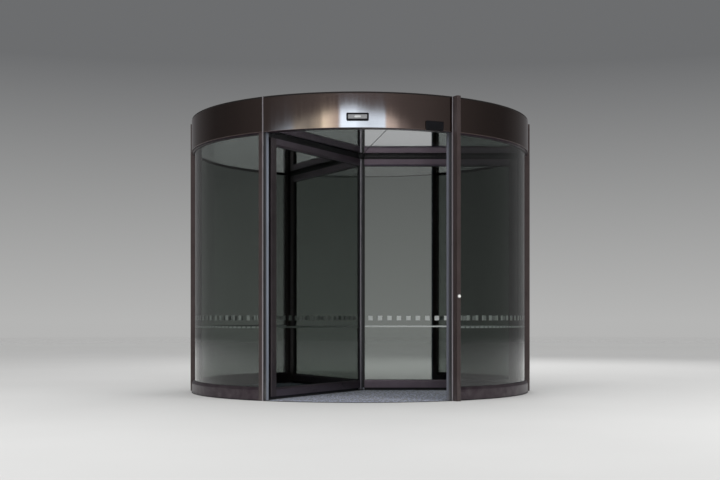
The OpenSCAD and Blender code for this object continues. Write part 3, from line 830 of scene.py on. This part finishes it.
def add_brushes(number, angle, rng):
    """Carrier channel with a packed core and separate bristle tufts round three sides of a wing."""
    x0, x1 = WING_BRUSHES[0].x, WING_STILES[1].x
    z0, z1 = WING_STILES[0].z, WING_STILES[1].z
    path = [(x0, z0), (x1, z0), (x1, z1), (x0, z1)]
    c, s = CARRIER_HALF, SLOT_HALF
    lip, root = CARRIER_H, 0.3 * CARRIER_H
    channel = [(-c, 0), (c, 0), (c, 0.75 * lip), (0.88 * c, lip), (s, lip), (s, root),
               (-s, root), (-s, lip), (-0.88 * c, lip), (-c, 0.75 * lip)]
    carrier = Shape(flat_at(angle))
    carrier.frame_bar(channel, path, closed=False)
    carrier_piece = carrier.piece("carriers_wing_%d" % number, "carrier", "rotor")
    core = Shape(flat_at(angle))
    for corners, reach in ((path[:3], z0 - FLOOR_Z), (path[2:], CEILING_Z - z1)):
        high = CORE_SHARE * reach
        section = [(-CORE_HALF, root), (CORE_HALF, root), (CORE_HALF, high), (-CORE_HALF, high)]
        core.frame_bar(section, corners, closed=False)
    core.piece("brush_core_wing_%d" % number, "bristle", "rotor")
    points = np.concatenate(list(tuft_blocks(rng)))
    quads = np.array(((3, 2, 1, 0), (4, 5, 6, 7), (0, 1, 5, 4), (1, 2, 6, 5), (2, 3, 7, 6), (3, 0, 4, 7)))
    starts = np.arange(len(points) // 8) * 8
    tufts = Shape(flat_at(angle))
    tufts.add(points.tolist(), (starts[:, None, None] + quads[None]).reshape(-1, 4).tolist())
    tufts.piece("bristles_wing_%d" % number, "bristle", "rotor", smooth=False)
    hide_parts("wing_%d_brushes" % number)


# Small fittings

def add_motion_window(side_name, middle):
    """Smoked window with round corners, its grey tone partly a painted reflection, and the pale lens in a
    motion sensor.
    """
    low, high = turned_box("motion_sensor_" + side_name, middle)
    at = facing(middle, high.x - SENSOR_RECESS, (low.z + high.z) / 2)
    w = high.y - low.y - 2 * SENSOR_FRAME - WINDOW_PLAY
    h = high.z - low.z - 2 * SENSOR_FRAME - WINDOW_PLAY
    window = Shape(at)
    window.plate(rounded(w, h, WINDOW_CORNER), *WINDOW_DEPTHS)
    window.piece("motion_window_" + side_name, "smoked_reflection", "enclosure")
    lens = Shape(at)
    lens.plate(rounded(LENS_W, LENS_H, LENS_CORNER), *LENS_DEPTHS)
    lens.piece("motion_lens_" + side_name, "lens", "enclosure")


def add_head_collar():
    """Collar round the head of the shaft, with a ring of bristles up to the ceiling."""
    z0 = WING_STILES[1].z + COLLAR_LIFT
    top = z0 + COLLAR_H
    inner = radii("centre_shaft")[1] + COLLAR_FIT
    outer = WING_BRUSHES[0].x + COLLAR_LAP
    collar = Shape(as_given)
    collar.ring(((inner, z0), (outer, z0), (outer, top - 0.004), (outer - 0.003, top), (inner, top)))
    collar.piece("head_collar", "carrier", "rotor")
    r0, r1 = inner + 0.004, outer - 0.002
    tufts = Shape(as_given)
    for k in range(COLLAR_TUFTS):
        tip = CEILING_Z - TIP_GAP - TUFT_UNEVEN * (k % 3) / 2
        rings = []
        for z, share in zip((top - 0.002, tip), TUFT_SHARE):
            a0 = 2 * math.pi * (k - share) / COLLAR_TUFTS
            a1 = 2 * math.pi * (k + share) / COLLAR_TUFTS
            corners = ((r0, a0), (r1, a0), (r1, a1), (r0, a1))
            rings.append([(r * math.cos(a), r * math.sin(a), z) for r, a in corners])
        tufts.loft(rings)
    tufts.piece("head_bristles", "bristle", "rotor", smooth=False)


def add_ceiling_seal():
    """Flat dark seal in the joint between the two halves of the mirror ceiling, almost flush with them."""
    seal = Shape(flat_at(CEILING_JOINT))
    face = SEAL_HALF - SEAL_CHAMFER
    section = ((-SEAL_HALF, SEAL_ROOT), (-face, SEAL_FACE), (face, SEAL_FACE), (SEAL_HALF, SEAL_ROOT))
    for ends in ((SEAL_NEAR, SEAL_FAR), (-SEAL_FAR, -SEAL_NEAR)):
        seal.loft([[(s, t, CEILING_Z - depth) for t, depth in section] for s in ends])
    seal.piece("ceiling_seal", "rubber", "enclosure", smooth=False)


def add_button_bezel():
    """Steel ring round the access button."""
    inner = (BUTTON_HIGH.y - BUTTON_LOW.y) / 2 + BEZEL_PLAY
    outer = inner + BEZEL_W
    bezel = Shape(facing(FRONT_SEAM, FIN_R, (BUTTON_LOW.z + BUTTON_HIGH.z) / 2))
    bezel.ring(((inner, 0), (outer, 0), (outer, BEZEL_H / 2), (outer - BEZEL_H / 2, BEZEL_H),
                (inner, BEZEL_H)), FIN_W / 2)
    bezel.piece("button_bezel", "screw", "enclosure")


def off_doorways():
    """Directions of the floor screws, which keep clear of both doorways."""
    clear = HALF_OPENING + DOORWAY_MARGIN
    for k in range(round(2 * math.pi / FLOOR_SCREW_STEP)):
        a = (k + 0.5) * FLOOR_SCREW_STEP
        if all(abs(math.remainder(a - middle, 2 * math.pi)) > clear for middle in (FRONT, REAR)):
            yield a


def add_floor_screws():
    """Countersunk screws, almost flush, in the visible border of the floor ring."""
    shape = Shape(as_given)
    r = (RING_R + INNER_R) / 2
    for a in off_doorways():
        shape.screw(r * math.cos(a), r * math.sin(a), FLOOR_Z, *FLOOR_SCREW)
    shape.piece("floor_screws", "screw", "enclosure")


def add_roof_screws():
    """Pan-head screws round the rim of the roof cover and beside its joints."""
    shape = Shape(as_given)
    rim = OUTER_R - ROOF_RIM_INSET
    for k in range(ROOF_RIM_SCREWS):
        a = 2 * math.pi * (k + 0.5) / ROOF_RIM_SCREWS
        shape.screw(rim * math.cos(a), rim * math.sin(a), TOP_Z, *ROOF_SCREW)
    for k in range(1, ROOF_JOINT_SCREWS + 1):
        for side in (ROOF_JOINT_SIDE, -ROOF_JOINT_SIDE):
            for along in (k * ROOF_JOINT_STEP, -k * ROOF_JOINT_STEP):
                shape.screw(along, side, TOP_Z, *ROOF_SCREW)
                shape.screw(side, along, TOP_Z, *ROOF_SCREW)
    shape.piece("roof_screws", "screw", "enclosure")


def add_pieces():
    """All the fine pieces, with one source of random draws for the bristles."""
    rng = np.random.default_rng(7)
    dress_wall_glass()
    for number, angle in enumerate(WING_ANGLES, 1):
        dress_wing_glass(number, angle)
        add_brushes(number, angle, rng)
    add_motion_window("front", FRONT)
    add_motion_window("rear", REAR)
    add_head_collar()
    add_ceiling_seal()
    add_button_bezel()
    add_floor_screws()
    add_roof_screws()


# Stage, light and camera

def add_floor():
    """Plain pale studio floor that fades into the backdrop, with a painted glow that makes it brighter where
    the ceiling mirrors it through the glass.
    """
    corners = [(x * STAGE_HALF, y * STAGE_HALF, 0) for x, y in ((-1, -1), (1, -1), (1, 1), (-1, 1))]
    mesh = bpy.data.meshes.new("studio_floor")
    mesh.from_pydata(corners, [], [(0, 1, 2, 3)])
    floor = bpy.data.objects.new("studio_floor", mesh)
    bpy.context.scene.collection.objects.link(floor)
    floor.location.z = -STAGE_DEPTH
    mat, tree, shader = new_material("studio_floor", (0.62, 0.62, 0.61), 0.7)
    point = place(tree)
    cloud = noise(tree, point, 0.8, 4.0)
    tree.links.new(blend(tree, cloud, (0.50, 0.50, 0.495), (0.54, 0.54, 0.535)), shader.inputs["Base Color"])
    away = node(tree, "VectorMath", point, operation="LENGTH").outputs["Value"]
    fade = spread(tree, away, *STAGE_FADE, 0.0, 1.0)
    clear = node(tree, "BsdfTransparent")
    # Painted glow: an emission that only rays mirrored and then passed through glass see, beyond a distance.
    path = node(tree, "LightPath").outputs
    reflected = calc(tree, "MINIMUM", path["Glossy Depth"], 1.0)
    through_glass = calc(tree, "MULTIPLY", reflected, path["Is Transmission Ray"])
    mirrored = calc(tree, "MULTIPLY", through_glass, spread(tree, away, *STAGE_GLOW_FROM, 0.0, 1.0))
    glow = node(tree, "Emission", (1.0, 0.94, 1.0, 1.0), STAGE_GLOW)
    shown = node(tree, "MixShader", mirrored, shader.outputs[0], glow.outputs[0])
    mix = node(tree, "MixShader", fade, shown.outputs[0], clear.outputs[0])
    tree.links.new(mix.outputs[0], tree.nodes["Material Output"].inputs["Surface"])
    mesh.materials.append(mat)


def add_softbox(name, at, target, size_x, size_y, power):
    """White area lamp that lights the scene and is never seen itself."""
    data = bpy.data.lights.new(name, "AREA")
    data.shape = "RECTANGLE"
    data.size = size_x
    data.size_y = size_y
    data.energy = power
    lamp = bpy.data.objects.new(name, data)
    bpy.context.scene.collection.objects.link(lamp)
    lamp.location = at
    lamp.rotation_euler = (Vector(target) - Vector(at)).to_track_quat("-Z", "Y").to_euler()
    lamp.visible_camera = False
    lamp.visible_glossy = False
    lamp.visible_transmission = False
    return lamp


def add_world():
    """Grey studio room: a gradient as backdrop, even light, and reflections brighter on the street side."""
    world = bpy.data.worlds.new("studio")
    bpy.context.scene.world = world
    world.use_nodes = True
    tree = world.node_tree
    xyz = node(tree, "SeparateXYZ", node(tree, "TexCoord").outputs["Generated"]).outputs
    rise = spread(tree, xyz[2], 0.0, 0.22, 0.0, 1.0)
    backdrop = blend(tree, rise, (0.46, 0.46, 0.455), (0.15, 0.153, 0.157))
    sideways = calc(tree, "ABSOLUTE", calc(tree, "DIVIDE", xyz[0], calc(tree, "ABSOLUTE", xyz[1])))
    lobe = calc(tree, "DIVIDE", 1.0, calc(tree, "ADD", 1.0, calc(tree, "POWER", sideways, 2.0)))
    ahead = blend(tree, lobe, (0.135, 0.132, 0.135), (0.41, 0.40, 0.41))
    mirrored = blend(tree, spread(tree, xyz[1], -0.15, 0.35, 0.0, 0.6), ahead, (0.04, 0.04, 0.042))
    path = node(tree, "LightPath").outputs
    mirror_ray = calc(tree, "MULTIPLY", path["Is Reflection Ray"], path["Is Glossy Ray"])
    seen = blend(tree, mirror_ray, backdrop, mirrored)
    colour = blend(tree, path["Is Diffuse Ray"], seen, (0.95, 0.95, 0.95))
    tree.links.new(colour, tree.nodes["Background"].inputs["Color"])
    tree.nodes["Background"].inputs["Strength"].default_value = 1.0


def add_header_panel():
    """Long soft panel that only the canopy's sheets reflect, with a glow that varies along it."""
    linked = bpy.data.collections.new("header_panel_lights")
    for name in ("fascia_front", "fascia_left", "fascia_right"):
        linked.objects.link(NODES[name])
    (x0, x1), (z0, z1) = HEADER_PANEL_X, HEADER_PANEL_Z
    at = Vector(((x0 + x1) / 2, HEADER_PANEL_Y, (z0 + z1) / 2))
    panel = add_softbox("header_panel", at, at + Vector((0, 1, 0)), x1 - x0, z1 - z0,
                        HEADER_POWER * (x1 - x0) * (z1 - z0))
    panel.visible_glossy = True
    panel.light_linking.receiver_collection = linked
    panel.data.use_nodes = True
    tree = panel.data.node_tree
    along, up = node(tree, "SeparateXYZ", node(tree, "NewGeometry").outputs["Parametric"]).outputs[:2]
    glow = node(tree, "ValToRGB", along)
    stops = glow.color_ramp.elements
    for number, (x, end, strength, colour) in enumerate(HEADER_GLOW):
        spot = (x - x0) / (x1 - x0)
        stop = stops[0] if number == 0 else stops.new(spot)
        stop.position = spot
        stop.color = (*(strength * c for c in colour), (end - z0) / (z1 - z0))
    stops[-1].color = stops[-2].color
    above = calc(tree, "SUBTRACT", up, glow.outputs["Alpha"])
    soft = HEADER_SOFT / (z1 - z0)
    share = node(tree, "MapRange", above, -soft, soft, 1.0, 0.0, interpolation_type="SMOOTHSTEP").outputs[0]
    emission = tree.nodes["Emission"]
    tree.links.new(glow.outputs["Color"], emission.inputs["Color"])
    tree.links.new(share, emission.inputs["Strength"])


def add_lights():
    """The softboxes of the studio and the canopy's own panel."""
    for softbox in SOFTBOXES:
        add_softbox(*softbox)
    add_header_panel()


def add_camera():
    """Camera where the photograph was taken from."""
    data = bpy.data.cameras.new("camera")
    data.sensor_width = SENSOR_MM
    data.lens = FOCAL_PX / IMAGE_W * data.sensor_width
    data.shift_x = (IMAGE_W / 2 - AXIS_X_PX) / IMAGE_W
    data.shift_y = (HORIZON_Y_PX - IMAGE_H / 2) / IMAGE_W
    camera = bpy.data.objects.new("camera", data)
    bpy.context.scene.collection.objects.link(camera)
    camera.location = CAMERA_AT
    camera.rotation_euler = (math.radians(90), 0, 0)
    bpy.context.scene.camera = camera


def set_light_paths():
    """Enough bounces to see through several panes in a row, and colours shown as they are."""
    cycles = bpy.context.scene.cycles
    cycles.max_bounces = 16
    cycles.transmission_bounces = 16
    cycles.transparent_max_bounces = 24
    bpy.context.scene.view_settings.view_transform = "Standard"


add_camera()
add_world()
add_lights()
add_floor()
set_light_paths()
dress_nodes()
add_pieces()
